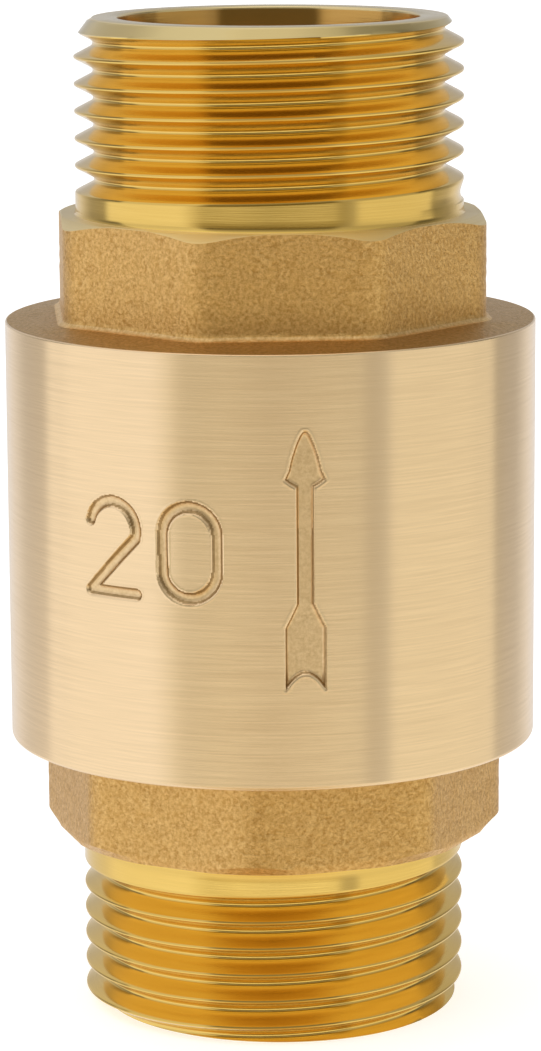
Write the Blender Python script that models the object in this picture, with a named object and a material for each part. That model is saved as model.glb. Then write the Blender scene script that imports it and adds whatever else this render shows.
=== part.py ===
"""In-line spring check valve with male 3/4 inch parallel pipe threads at both ends.

The flow runs upwards along +Z. The origin is at the centre of the inlet end face, and -Y is the
side that carries the flow arrow. Every object is one separate piece of the valve, at rest with
the valve closed. Compass angles are counted from -Y towards +X, seen from the front.
"""
import math

import bmesh
import bpy
from mathutils import Matrix, Vector

MM = 0.001

# Overall size and the pipe threads (G 3/4: 14 turns to the inch, crests a little under 26.441 mm)
LENGTH = 67.5 * MM
THREAD_RADIUS = 13.05 * MM
THREAD_ROOT = 11.888 * MM
THREAD_PITCH = 1.814 * MM
FLANK_ANGLE = math.radians(27.5)
OUTLET_END_RADIUS = 11.95 * MM
OUTLET_END_CHAMFER = 1.45 * MM
INLET_END_RADIUS = 12.45 * MM
INLET_END_CHAMFER = 0.75 * MM
BORE = 10.1 * MM
BORE_CHAMFER = 0.1 * MM
OUTLET_CREST_AT_FRONT = 65.37 * MM
INLET_CREST_AT_FRONT = 8.59 * MM
OUTLET_THREAD_END = 55.57 * MM
INLET_THREAD_END = 10.9 * MM

# Body casting: cylinder, octagon and outlet neck
BODY_RADIUS = 17.9 * MM
BODY_BOTTOM = 18.77 * MM
BODY_TOP = 47.28 * MM
SHOULDER_HEIGHT = 47.6 * MM
OUTLET_OCTAGON_FLATS = 28.15 * MM
OUTLET_OCTAGON_TURN = math.radians(-2.7)
OUTLET_LEDGE = 54.45 * MM
OUTLET_LEDGE_FLAT = 14.15 * MM
OUTLET_LEDGE_EDGE = 53.34 * MM
CHAMBER_RADIUS = 15.5 * MM
CHAMBER_FLOOR = 28.3 * MM
CHAMBER_ROOF = 39.8 * MM
GUIDE_SEAT_RADIUS = 12.0 * MM
GUIDE_SEAT_BOTTOM = 43.0 * MM
GUIDE_SEAT_TOP = 46.2 * MM
JOINT_THREAD_HOLE = 14.15 * MM
JOINT_RING_HOLE = 14.6 * MM
JOINT_RING_HOLE_DEPTH = 2.13 * MM

# Inlet connector: octagon, neck for the joint ring, spigot and valve seat
INLET_OCTAGON_FLATS = 29.2 * MM
INLET_OCTAGON_TURN = math.radians(10.9)
INLET_LEDGE = 12.3 * MM
CONNECTOR_SHOULDER = 18.47 * MM
NECK_RADIUS = 12.8 * MM
SPIGOT_RADIUS = 13.85 * MM
SPIGOT_BOTTOM = 20.9 * MM
SPIGOT_TOP = 26.2 * MM
SEAT_HEIGHT = 27.0 * MM
SEAT_OUTER = 10.3 * MM
SEAT_INNER = 9.6 * MM
SEAT_BORE = 9.3 * MM
INLET_GUIDE_STOP = 17.3 * MM
CIRCLIP_GROOVE_RADIUS = 11.0 * MM
CIRCLIP_GROOVE = (12.3 * MM, 13.9 * MM)

# Moving valve member
FACE_GAP = 0.3 * MM
RUNNING_GAP = 0.08 * MM
LIFT = 6.0 * MM
STEM_BOTTOM = 9.5 * MM
STEM_TOP = 48.5 * MM
STEM_RADIUS = 2.5 * MM
STEM_TAIL_RADIUS = 2.0 * MM
STEM_TAIL_TOP = 20.1 * MM
STEM_HOLE = STEM_RADIUS + FACE_GAP
COLLAR_RADIUS = 4.0 * MM
COLLAR = (31.8 * MM, 33.1 * MM)
DISC_RADIUS = 12.5 * MM
DISC_RECESS = 11.95 * MM
SEAL_RADIUS = 11.65 * MM
SEAL = (27.3 * MM, 29.3 * MM)
RETAINER_RADIUS = 6.6 * MM
RETAINER = (25.9 * MM, 27.0 * MM)
LOCK_WASHER_RADIUS = 4.4 * MM
LOCK_WASHER = (24.6 * MM, 25.6 * MM)
NUT_FLATS = 8.0 * MM
NUT = (20.3 * MM, 24.3 * MM)

# Return spring
SPRING_RADIUS = 6.2 * MM
SPRING_WIRE = 0.3 * MM
SPRING_BOTTOM = 31.2 * MM
SPRING_TOP = 42.8 * MM
SPRING_TURNS = 5.5

# Guides
ARM_COUNT = 3
ARM_WIDTH = 2.2 * MM
OUTLET_GUIDE_RADIUS = 11.7 * MM
OUTLET_GUIDE_INNER = 10.3 * MM
OUTLET_GUIDE = (43.1 * MM, 45.9 * MM)
OUTLET_HUB_RADIUS = 4.7 * MM
OUTLET_HUB_BORE = 3.95 * MM
OUTLET_HUB = (40.5 * MM, 47.0 * MM)
INLET_GUIDE_RADIUS = 9.8 * MM
INLET_GUIDE_INNER = 8.5 * MM
INLET_GUIDE = (14.2 * MM, 17.0 * MM)
INLET_HUB_RADIUS = 4.2 * MM
INLET_HUB_BORE = 3.25 * MM
INLET_HUB = (14.2 * MM, 19.0 * MM)
CIRCLIP = (12.6 * MM, 13.6 * MM)

OUTLET_BUSH_RADIUS = 3.65 * MM
OUTLET_BUSH_FLANGE_RADIUS = 4.4 * MM
OUTLET_BUSH = (40.2 * MM, 46.7 * MM)
OUTLET_BUSH_FLANGE = (39.4 * MM, 40.2 * MM)
INLET_BUSH_RADIUS = 2.95 * MM
INLET_BUSH_FLANGE_RADIUS = 3.6 * MM
INLET_BUSH = (14.2 * MM, 19.3 * MM)
INLET_BUSH_FLANGE = (19.3 * MM, 19.9 * MM)

# Facets in a full turn
ROUND = 40
SMALL_ROUND = 24
THREAD_STEPS = 24


def clear_scene():
    """Remove whatever objects the file holds."""
    for obj in list(bpy.data.objects):
        bpy.data.objects.remove(obj, do_unlink=True)


def material(name, colour, roughness, metallic):
    """A plain Principled material."""
    result = bpy.data.materials.new(name)
    result.use_nodes = True
    shader = result.node_tree.nodes["Principled BSDF"]
    shader.inputs["Base Color"].default_value = (*colour, 1.0)
    shader.inputs["Roughness"].default_value = roughness
    shader.inputs["Metallic"].default_value = metallic
    result.diffuse_color = (*colour, 1.0)
    return result


def add_object(name, bm, surface=None):
    """Turn a closed bmesh into a scene object with its faces pointing out."""
    bmesh.ops.recalc_face_normals(bm, faces=bm.faces)
    mesh = bpy.data.meshes.new(name)
    bm.to_mesh(mesh)
    bm.free()
    obj = bpy.data.objects.new(name, mesh)
    bpy.context.scene.collection.objects.link(obj)
    if surface:
        mesh.materials.append(surface)
    mesh.shade_smooth()
    mesh.set_sharp_from_angle(angle=math.radians(30))
    return obj


def turned(name, profile, surface=None, segments=ROUND, closed=True):
    """Spin a profile of (radius, height) points about Z; an open one starts and ends on the axis."""
    bm = bmesh.new()
    points = [bm.verts.new((radius, 0.0, height)) for radius, height in profile]
    edges = [bm.edges.new(pair) for pair in zip(points, points[1:])]
    if closed:
        edges.append(bm.edges.new((points[-1], points[0])))
    bmesh.ops.spin(bm, geom=points + edges, cent=(0, 0, 0), axis=(0, 0, 1), dvec=(0, 0, 0),
                   angle=math.tau, steps=segments, use_merge=True)
    bmesh.ops.remove_doubles(bm, verts=bm.verts, dist=1e-7)
    return add_object(name, bm, surface)


def extruded(name, outline, bottom, top, surface=None):
    """Extrude a closed outline of (x, y) points between two heights."""
    bm = bmesh.new()
    base = bm.faces.new([bm.verts.new((x, y, bottom)) for x, y in outline])
    raised = bmesh.ops.extrude_face_region(bm, geom=[base])["geom"]
    moved = [item for item in raised if isinstance(item, bmesh.types.BMVert)]
    bmesh.ops.translate(bm, verts=moved, vec=(0, 0, top - bottom))
    return add_object(name, bm, surface)


def polygon(sides, across_flats, turn=0.0):
    """Corners of a regular polygon; turn is the compass angle of one flat's normal."""
    radius = across_flats / 2 / math.cos(math.pi / sides)
    angles = [turn + math.tau * (index + 0.5) / sides for index in range(sides)]
    return [(radius * math.sin(angle), -radius * math.cos(angle)) for angle in angles]


def arc(radius, start, end, steps):
    """Points (x, y) of a circular arc between two angles counted from +X."""
    angles = [start + (end - start) * index / steps for index in range(steps + 1)]
    return [(radius * math.cos(angle), radius * math.sin(angle)) for angle in angles]


def combine(target, tool, operation):
    """Cut, join or trim the target with a tool object, which is hidden."""
    modifier = target.modifiers.new(tool.name, "BOOLEAN")
    modifier.operation = operation
    modifier.object = tool
    modifier.solver = "EXACT"
    tool.hide_render = True
    tool.display_type = "WIRE"


def octagon_trimmer(name, across_flats, turn, bottom, top):
    """Heavy ring with an octagonal hole, which cuts eight wrench flats when it is subtracted."""
    outer_radius = 25.0 * MM
    ring = turned(name, [(0, bottom), (outer_radius, bottom), (outer_radius, top), (0, top)],
                  closed=False)
    margin = 2.0 * MM
    core = extruded(f"{name}_hole", polygon(8, across_flats, turn), bottom - margin, top + margin)
    combine(ring, core, "DIFFERENCE")
    return ring


def thread_cutter(name, crest_at_front, open_end, blind_end):
    """Helical groove of the pipe thread, right-handed, lifting out of the metal at its blind end."""
    root_half_width = 0.13 * MM
    outer_radius = THREAD_RADIUS + 0.18 * MM
    lift_turns = 0.3
    half_width = root_half_width + (outer_radius - THREAD_ROOT) * math.tan(FLANK_ANGLE)
    low, high = sorted((open_end, blind_end))
    quarter_turn, half_turn = 0.25, 0.5
    groove_at_x = crest_at_front + THREAD_PITCH * (quarter_turn + half_turn)
    first = math.ceil((low - groove_at_x) / THREAD_PITCH * THREAD_STEPS)
    last = math.floor((high - groove_at_x) / THREAD_PITCH * THREAD_STEPS)
    bm = bmesh.new()
    rings = []
    for step in range(first, last + 1):
        turns = (step + 0.5) / THREAD_STEPS
        height = groove_at_x + THREAD_PITCH * turns
        turns_left = abs(height - blind_end) / THREAD_PITCH
        lift = max(0.0, 1.0 - turns_left / lift_turns) * (outer_radius - THREAD_ROOT)
        section = [(THREAD_ROOT + lift, -root_half_width), (THREAD_ROOT + lift, root_half_width),
                   (outer_radius + lift, half_width), (outer_radius + lift, -half_width)]
        angle = math.tau * turns
        rings.append([bm.verts.new((radius * math.cos(angle), radius * math.sin(angle), height + offset))
                      for radius, offset in section])
    for ring, following in zip(rings, rings[1:]):
        for index in range(4):
            after = (index + 1) % 4
            bm.faces.new((ring[index], ring[after], following[after], following[index]))
    bm.faces.new(rings[0])
    bm.faces.new(rings[-1])
    return add_object(name, bm)


def arrow_tool(name):
    """Flow arrow that is sunk into the front of the body, pointing up towards the outlet."""
    floor = 17.6 * MM
    tip, barbs, neck = 42.3 * MM, 39.3 * MM, 38.8 * MM
    tail_top, tail_shoulder, tail_end, notch = 31.2 * MM, 29.6 * MM, 25.5 * MM, 26.6 * MM
    head_half, shaft_half, tail_half = 1.32 * MM, 0.54 * MM, 1.3 * MM
    right_side = [(head_half, barbs), (shaft_half, neck), (shaft_half, tail_top),
                  (tail_half, tail_shoulder), (tail_half, tail_end)]
    left_side = [(-x, z) for x, z in reversed(right_side)]
    outline = [(0.0, tip)] + right_side + [(0.0, notch)] + left_side
    tool = extruded(name, outline, floor, floor + 2.0 * MM)
    tool.data.transform(Matrix.Rotation(math.radians(90), 4, "X"))
    return tool


def make_valve_body(surface):
    """Body casting: outlet thread, octagon, cylinder, spring chamber and joint socket."""
    edge = 0.3 * MM
    trim_radius = 16.0 * MM
    profile = [
        (BODY_RADIUS - edge, BODY_BOTTOM), (BODY_RADIUS, BODY_BOTTOM + edge),
        (BODY_RADIUS, BODY_TOP - edge / 2), (BODY_RADIUS - edge / 2, BODY_TOP),
        (trim_radius, SHOULDER_HEIGHT), (trim_radius, OUTLET_LEDGE_EDGE),
        (OUTLET_LEDGE_FLAT, OUTLET_LEDGE), (THREAD_RADIUS, OUTLET_LEDGE),
        (THREAD_RADIUS, LENGTH - OUTLET_END_CHAMFER), (OUTLET_END_RADIUS, LENGTH),
        (BORE + BORE_CHAMFER, LENGTH), (BORE, LENGTH - BORE_CHAMFER),
        (BORE, GUIDE_SEAT_TOP), (GUIDE_SEAT_RADIUS, GUIDE_SEAT_TOP),
        (GUIDE_SEAT_RADIUS, GUIDE_SEAT_BOTTOM), (CHAMBER_RADIUS, CHAMBER_ROOF),
        (CHAMBER_RADIUS, CHAMBER_FLOOR), (JOINT_THREAD_HOLE, CHAMBER_FLOOR - 1.0 * MM),
        (JOINT_THREAD_HOLE, BODY_BOTTOM + JOINT_RING_HOLE_DEPTH),
        (JOINT_RING_HOLE, BODY_BOTTOM + JOINT_RING_HOLE_DEPTH), (JOINT_RING_HOLE, BODY_BOTTOM),
    ]
    body = turned("valve_body", profile, surface)
    flats = octagon_trimmer("body_flats_cutter", OUTLET_OCTAGON_FLATS, OUTLET_OCTAGON_TURN,
                            SHOULDER_HEIGHT + 0.1 * MM, OUTLET_LEDGE + 0.05 * MM)
    combine(body, flats, "DIFFERENCE")
    groove = thread_cutter("outlet_thread_cutter", OUTLET_CREST_AT_FRONT,
                           LENGTH + THREAD_PITCH, OUTLET_THREAD_END)
    combine(body, groove, "DIFFERENCE")
    combine(body, arrow_tool("arrow_cutter"), "DIFFERENCE")
    return body


def make_inlet_connector(surface):
    """Connector casting: inlet thread, octagon, joint spigot and the raised valve seat."""
    trim_radius = 16.3 * MM
    seat_chamfer = 0.3 * MM
    groove_bottom, groove_top = CIRCLIP_GROOVE
    profile = [
        (INLET_END_RADIUS, 0.0), (THREAD_RADIUS, INLET_END_CHAMFER),
        (THREAD_RADIUS, INLET_LEDGE), (trim_radius, INLET_LEDGE),
        (trim_radius, CONNECTOR_SHOULDER),
        (NECK_RADIUS, CONNECTOR_SHOULDER), (NECK_RADIUS, SPIGOT_BOTTOM),
        (SPIGOT_RADIUS, SPIGOT_BOTTOM), (SPIGOT_RADIUS, SPIGOT_TOP - seat_chamfer),
        (SPIGOT_RADIUS - seat_chamfer, SPIGOT_TOP), (SEAT_OUTER + seat_chamfer, SPIGOT_TOP),
        (SEAT_OUTER, SEAT_HEIGHT), (SEAT_INNER, SEAT_HEIGHT),
        (SEAT_BORE, SEAT_HEIGHT - seat_chamfer), (SEAT_BORE, INLET_GUIDE_STOP),
        (BORE, INLET_GUIDE_STOP), (BORE, groove_top),
        (CIRCLIP_GROOVE_RADIUS, groove_top), (CIRCLIP_GROOVE_RADIUS, groove_bottom),
        (BORE, groove_bottom), (BORE, BORE_CHAMFER), (BORE + BORE_CHAMFER, 0.0),
    ]
    connector = turned("inlet_connector", profile, surface)
    flats = octagon_trimmer("connector_flats_cutter", INLET_OCTAGON_FLATS, INLET_OCTAGON_TURN,
                            INLET_LEDGE - 0.05 * MM, CONNECTOR_SHOULDER + 0.4 * MM)
    combine(connector, flats, "DIFFERENCE")
    groove = thread_cutter("inlet_thread_cutter", INLET_CREST_AT_FRONT, -THREAD_PITCH, INLET_THREAD_END)
    combine(connector, groove, "DIFFERENCE")
    return connector


def make_joint_ring(surface):
    """Rubber ring of round section between the two castings."""
    ring_radius, section_radius, height = 13.7 * MM, 0.62 * MM, 19.95 * MM
    section = arc(section_radius, 0.0, math.tau, 6)[:-1]
    profile = [(ring_radius + x, height + z) for x, z in section]
    return turned("joint_ring", profile, surface, SMALL_ROUND)


def make_guide(name, ring_outer, ring_inner, ring_span, hub_radius, hub_bore, hub_span, surface):
    """Spider: a ring and a hub joined by three arms."""
    ring_bottom, ring_top = ring_span
    hub_bottom, hub_top = hub_span
    ring = turned(name, [(ring_outer, ring_bottom), (ring_outer, ring_top),
                         (ring_inner, ring_top), (ring_inner, ring_bottom)], surface)
    hub = turned(f"{name}_hub", [(hub_radius, hub_bottom), (hub_radius, hub_top),
                                 (hub_bore, hub_top), (hub_bore, hub_bottom)], segments=SMALL_ROUND)
    bite = 0.35 * MM
    for index in range(ARM_COUNT):
        angle = math.radians(90) + math.tau * index / ARM_COUNT
        along = Vector((math.cos(angle), math.sin(angle)))
        across = Vector((-along.y, along.x)) * ARM_WIDTH / 2
        start, end = along * (hub_radius - bite), along * (ring_inner + bite)
        outline = [start - across, end - across, end + across, start + across]
        arm = extruded(f"{name}_arm_{index}", outline, ring_bottom + 0.2 * MM, ring_top - 0.4 * MM)
        combine(ring, arm, "UNION")
    combine(ring, hub, "UNION")
    return ring


def make_bush(name, sleeve_radius, flange_radius, bore, sleeve_span, flange_span, surface):
    """Flanged plain bearing; the flange is at whichever end its span says."""
    low, high = sleeve_span
    flange_low, flange_high = flange_span
    if flange_low < low:
        profile = [(bore, flange_low), (flange_radius, flange_low), (flange_radius, flange_high),
                   (sleeve_radius, flange_high), (sleeve_radius, high), (bore, high)]
    else:
        profile = [(bore, low), (sleeve_radius, low), (sleeve_radius, flange_low),
                   (flange_radius, flange_low), (flange_radius, flange_high), (bore, flange_high)]
    return turned(name, profile, surface, SMALL_ROUND)


def make_poppet_stem(surface):
    """Stem with a collar over the disc, a screwed middle and two guided ends."""
    chamfer = 0.5 * MM
    collar_bottom, collar_top = COLLAR
    profile = [
        (0.0, STEM_BOTTOM), (STEM_TAIL_RADIUS - chamfer, STEM_BOTTOM),
        (STEM_TAIL_RADIUS, STEM_BOTTOM + chamfer), (STEM_TAIL_RADIUS, STEM_TAIL_TOP),
        (STEM_RADIUS, STEM_TAIL_TOP + chamfer), (STEM_RADIUS, collar_bottom),
        (COLLAR_RADIUS, collar_bottom), (COLLAR_RADIUS, collar_top),
        (STEM_RADIUS, collar_top), (STEM_RADIUS, STEM_TOP - chamfer),
        (STEM_RADIUS - chamfer, STEM_TOP), (0.0, STEM_TOP),
    ]
    return turned("poppet_stem", profile, surface, SMALL_ROUND, closed=False)


def make_disc_plate(surface):
    """Closing disc with a skirt round the seal and a boss that centres the spring."""
    boss_radius, boss_top = 5.5 * MM, COLLAR[0] - FACE_GAP
    spring_seat, spring_seat_edge = SPRING_BOTTOM - FACE_GAP, 7.2 * MM
    rim_top, skirt_bottom = 30.2 * MM, 28.3 * MM
    recess = SEAL[1] + FACE_GAP
    profile = [
        (STEM_HOLE, recess), (STEM_HOLE, boss_top), (boss_radius - 0.3 * MM, boss_top),
        (boss_radius, boss_top - 0.3 * MM), (boss_radius, spring_seat),
        (spring_seat_edge, spring_seat), (DISC_RADIUS - 0.3 * MM, rim_top + 0.2 * MM),
        (DISC_RADIUS, rim_top), (DISC_RADIUS, skirt_bottom),
        (DISC_RECESS, skirt_bottom), (DISC_RECESS, recess),
    ]
    return turned("disc_plate", profile, surface, SMALL_ROUND)


def make_disc_seal(surface):
    """Flat rubber disc that meets the valve seat."""
    low, high = SEAL
    hole = STEM_HOLE + 0.1 * MM
    profile = [(hole, low), (SEAL_RADIUS, low), (SEAL_RADIUS, high), (hole, high)]
    return turned("disc_seal", profile, surface, SMALL_ROUND)


def make_seal_retainer(surface):
    """Washer under the seal, with a chamfered lower edge."""
    low, high = RETAINER
    chamfer = 0.35 * MM
    profile = [(STEM_HOLE, low), (RETAINER_RADIUS - chamfer, low), (RETAINER_RADIUS, low + chamfer),
               (RETAINER_RADIUS, high), (STEM_HOLE, high)]
    return turned("seal_retainer", profile, surface, SMALL_ROUND)


def make_lock_washer(surface):
    """Split spring washer under the retainer."""
    half_gap = math.radians(8)
    outline = arc(LOCK_WASHER_RADIUS, half_gap, math.tau - half_gap, SMALL_ROUND)
    outline += arc(STEM_HOLE, math.tau - half_gap, half_gap, SMALL_ROUND)
    return extruded("lock_washer", outline, *LOCK_WASHER, surface)


def make_stem_nut(surface):
    """Hexagon nut with turned corners and a plain hole round the stem's thread."""
    low, high = NUT
    nut = extruded("stem_nut", polygon(6, NUT_FLATS), low, high, surface)
    crown = NUT_FLATS / 2 - 0.1 * MM
    wide = NUT_FLATS / 2 + 1.0 * MM
    drop = (wide - crown) * math.tan(math.radians(30))
    margin = 0.3 * MM
    envelope = turned("nut_envelope", [
        (0.0, low - margin), (crown - margin, low - margin), (crown, low), (wide, low + drop),
        (wide, high - drop), (crown, high), (crown - margin, high + margin), (0.0, high + margin),
    ], segments=SMALL_ROUND, closed=False)
    combine(nut, envelope, "INTERSECT")
    hole = turned("nut_hole", [(0.0, low - margin), (STEM_HOLE, low - margin),
                               (STEM_HOLE, high + margin), (0.0, high + margin)],
                  segments=SMALL_ROUND, closed=False)
    combine(nut, hole, "DIFFERENCE")
    return nut


def make_return_spring(surface):
    """Compression spring wound from round wire, with its end turns lying flat."""
    steps, sides = 16, 6
    count = round(SPRING_TURNS * steps)
    low, high = SPRING_BOTTOM + SPRING_WIRE, SPRING_TOP - SPRING_WIRE
    flat_turn = 0.75
    wire_pitch = 2.0 * SPRING_WIRE + 0.05 * MM
    bm = bmesh.new()
    rings = []
    for index in range(count + 1):
        turns = index / steps
        from_end = SPRING_TURNS - turns
        rise = flat_turn * wire_pitch
        if turns < flat_turn:
            height = low + wire_pitch * turns
        elif from_end < flat_turn:
            height = high - wire_pitch * from_end
        else:
            share = (turns - flat_turn) / (SPRING_TURNS - 2 * flat_turn)
            height = low + rise + share * (high - low - 2 * rise)
        angle = math.tau * turns
        ring = []
        for x, z in arc(SPRING_WIRE, 0.0, math.tau, sides)[:-1]:
            radius = SPRING_RADIUS + x
            ring.append(bm.verts.new((radius * math.cos(angle), radius * math.sin(angle), height + z)))
        rings.append(ring)
    for ring, following in zip(rings, rings[1:]):
        for index in range(sides):
            after = (index + 1) % sides
            bm.faces.new((ring[index], ring[after], following[after], following[index]))
    bm.faces.new(rings[0])
    bm.faces.new(rings[-1])
    return add_object("return_spring", bm, surface)


def make_inlet_circlip(surface):
    """Internal retaining ring with a gap and two inward lugs for circlip pliers."""
    outer, inner, lug = 10.7 * MM, 9.2 * MM, 7.4 * MM
    gap, lug_width = math.radians(10), math.radians(14)
    start, end = gap, math.tau - gap
    outline = arc(outer, start, end, ROUND)
    outline += arc(lug, end, end - lug_width, 2)
    outline += arc(inner, end - lug_width, start + lug_width, ROUND)
    outline += arc(lug, start + lug_width, start, 2)
    clip = extruded("inlet_circlip", outline, *CIRCLIP, surface)
    clip.data.transform(Matrix.Rotation(math.radians(-30), 4, "Z"))
    return clip


def build():
    """Make every piece of the valve."""
    clear_scene()
    machined = material("machined_brass", (0.72, 0.55, 0.28), 0.28, 1.0)
    cast = material("cast_brass", (0.60, 0.43, 0.19), 0.42, 1.0)
    steel = material("stainless_steel", (0.58, 0.58, 0.57), 0.25, 1.0)
    rubber = material("nitrile_rubber", (0.02, 0.02, 0.02), 0.6, 0.0)
    acetal = material("white_acetal", (0.82, 0.81, 0.76), 0.4, 0.0)

    make_valve_body(machined)
    make_inlet_connector(cast)
    make_joint_ring(rubber)
    make_guide("outlet_guide", OUTLET_GUIDE_RADIUS, OUTLET_GUIDE_INNER, OUTLET_GUIDE,
               OUTLET_HUB_RADIUS, OUTLET_HUB_BORE, OUTLET_HUB, machined)
    make_bush("outlet_bush", OUTLET_BUSH_RADIUS, OUTLET_BUSH_FLANGE_RADIUS, STEM_RADIUS + RUNNING_GAP,
              OUTLET_BUSH, OUTLET_BUSH_FLANGE, acetal)
    make_poppet_stem(steel)
    make_disc_plate(machined)
    make_disc_seal(rubber)
    make_seal_retainer(steel)
    make_lock_washer(steel)
    make_stem_nut(steel)
    make_return_spring(steel)
    make_guide("inlet_guide", INLET_GUIDE_RADIUS, INLET_GUIDE_INNER, INLET_GUIDE,
               INLET_HUB_RADIUS, INLET_HUB_BORE, INLET_HUB, machined)
    make_bush("inlet_bush", INLET_BUSH_RADIUS, INLET_BUSH_FLANGE_RADIUS,
              STEM_TAIL_RADIUS + RUNNING_GAP, INLET_BUSH, INLET_BUSH_FLANGE, acetal)
    make_inlet_circlip(steel)


build()
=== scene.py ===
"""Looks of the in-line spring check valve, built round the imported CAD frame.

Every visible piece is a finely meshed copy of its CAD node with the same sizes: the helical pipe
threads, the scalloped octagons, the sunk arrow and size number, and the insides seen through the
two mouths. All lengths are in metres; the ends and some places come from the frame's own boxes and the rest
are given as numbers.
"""
import math

import bmesh
import bpy
import numpy as np
from mathutils import Matrix, Vector


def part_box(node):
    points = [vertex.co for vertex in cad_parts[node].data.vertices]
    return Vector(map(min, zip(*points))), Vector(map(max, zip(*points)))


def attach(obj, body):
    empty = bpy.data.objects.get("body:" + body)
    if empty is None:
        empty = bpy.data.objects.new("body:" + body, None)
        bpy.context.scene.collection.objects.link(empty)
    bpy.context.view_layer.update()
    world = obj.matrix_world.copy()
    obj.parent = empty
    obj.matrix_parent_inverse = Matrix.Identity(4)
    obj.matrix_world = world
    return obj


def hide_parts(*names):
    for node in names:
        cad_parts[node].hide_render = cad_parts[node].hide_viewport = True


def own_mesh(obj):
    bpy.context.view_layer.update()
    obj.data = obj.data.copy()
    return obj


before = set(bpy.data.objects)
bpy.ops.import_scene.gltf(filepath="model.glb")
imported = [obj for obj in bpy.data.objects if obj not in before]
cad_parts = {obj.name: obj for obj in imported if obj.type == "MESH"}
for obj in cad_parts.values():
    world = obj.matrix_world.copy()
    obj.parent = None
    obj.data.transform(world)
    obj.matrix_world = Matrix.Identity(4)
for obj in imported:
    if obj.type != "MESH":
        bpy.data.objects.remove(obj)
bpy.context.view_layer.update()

MM = 0.001
SHARP_ANGLE = math.radians(32)

# Standard G 3/4 pipe thread
PITCH = 1.814 * MM
THREAD_RADIUS = 13.05 * MM
CREST_ROUND = 0.085 * PITCH
ROOT_ROUND = 0.137 * PITCH
FLANK = math.radians(27.5)

# Places read from the frame
INLET_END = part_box("inlet_connector")[0].z
OUTLET_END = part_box("valve_body")[1].z
BODY_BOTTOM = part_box("valve_body")[0].z
BODY_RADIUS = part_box("valve_body")[1].x

# Outside sizes that a box doesn't tell
BODY_TOP = OUTLET_END - 20.22 * MM
SHOULDER = OUTLET_END - 19.9 * MM
OUTLET_LEDGE = OUTLET_END - 13.05 * MM
OUTLET_LEDGE_FLAT = 14.15 * MM
OUTLET_OCTAGON_FLATS = 28.15 * MM
OUTLET_OCTAGON_TURN = math.radians(-2.7)
INLET_LEDGE = INLET_END + 12.3 * MM
INLET_LEDGE_FLAT = 14.7 * MM
CONNECTOR_SHOULDER = INLET_END + 18.47 * MM
INLET_OCTAGON_FLATS = 29.2 * MM
INLET_OCTAGON_TURN = math.radians(10.9)
OUTLET_CORNER_ROUND = 2.8 * MM
INLET_CORNER_ROUND = 2.7 * MM
OUTLET_LEDGE_SLOPE = 0.6
INLET_LEDGE_SLOPE = 0.55
OUTLET_END_RADIUS = 11.95 * MM
OUTLET_END_CHAMFER = 1.45 * MM
INLET_END_RADIUS = 12.45 * MM
INLET_END_CHAMFER = 0.75 * MM
BORE = 10.1 * MM
BORE_CHAMFER = 0.1 * MM
OUTLET_CREST_AT_FRONT = OUTLET_END - 2.13 * MM
INLET_CREST_AT_FRONT = INLET_END + 8.59 * MM
OUTLET_THREAD_END = OUTLET_END - 11.93 * MM
INLET_THREAD_END = INLET_END + 10.9 * MM

COLUMNS = 288


# --- Materials ---

class Graph:
    """Short hand for building a node tree."""

    def __init__(self, tree):
        self.tree = tree

    def put(self, kind, output=0, settings=None, **inputs):
        """Add a node, set its inputs by name or number, and return one of its outputs if it has any."""
        node = self.tree.nodes.new(kind)
        for key, value in (settings or {}).items():
            setattr(node, key, value)
        for key, value in inputs.items():
            self.feed(node.inputs[int(key[1:]) if key[0] == "_" else key.replace("_", " ")], value)
        return node.outputs[output] if node.outputs else None

    def feed(self, socket, value):
        """Link a socket or set its value."""
        if isinstance(value, bpy.types.NodeSocket):
            self.tree.links.new(value, socket)
        else:
            socket.default_value = value

    def spread(self, value, low, high, to_low=0.0, to_high=1.0):
        """Map a range of a value on to another, clamped."""
        return self.put("ShaderNodeMapRange", Value=value, From_Min=low, From_Max=high,
                        To_Min=to_low, To_Max=to_high)

    def mix(self, share, first, second, blend="MIX"):
        """Blend two colours."""
        node = self.tree.nodes.new("ShaderNodeMix")
        node.data_type = "RGBA"
        node.blend_type = blend
        self.feed(node.inputs["Factor"], share)
        colours = [socket for socket in node.inputs if socket.type == "RGBA"]
        for socket, colour in zip(colours, (first, second)):
            self.feed(socket, (*colour, 1.0) if isinstance(colour, tuple) else colour)
        return next(socket for socket in node.outputs if socket.type == "RGBA")

    def maths(self, operation, *values):
        """One sum on up to three values."""
        return self.put("ShaderNodeMath", settings={"operation": operation},
                        **{f"_{number}": value for number, value in enumerate(values)})


class Surface(Graph):
    """A material built round its Principled shader."""

    def __init__(self, name):
        self.material = bpy.data.materials.new(name)
        self.material.use_nodes = True
        super().__init__(self.material.node_tree)

    def finish(self, **inputs):
        """Feed the Principled shader and return the material."""
        for key, value in inputs.items():
            self.feed(self.tree.nodes["Principled BSDF"].inputs[key.replace("_", " ")], value)
        return self.material

    def noise(self, scale, detail=2.0, roughness=0.5, stretch=(1, 1, 1)):
        """Noise from 0 to 1 at a scale per metre, stretched by a share for each axis."""
        place = self.put("ShaderNodeMapping", Vector=self.put("ShaderNodeTexCoord", "Object"),
                         Scale=stretch)
        return self.put("ShaderNodeTexNoise", "Fac", Vector=place, Scale=scale, Detail=detail,
                        Roughness=roughness)

    def sum(self, first, second, share):
        """first + second * share."""
        return self.maths("MULTIPLY_ADD", second, share, first)

    def bump(self, height, depth):
        """Normal from a height of the given depth in metres."""
        return self.put("ShaderNodeBump", Height=height, Distance=depth)

    def tangent(self):
        """Direction round the valve's axis."""
        return self.put("ShaderNodeTangent", settings={"direction_type": "RADIAL", "axis": "Z"})


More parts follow.
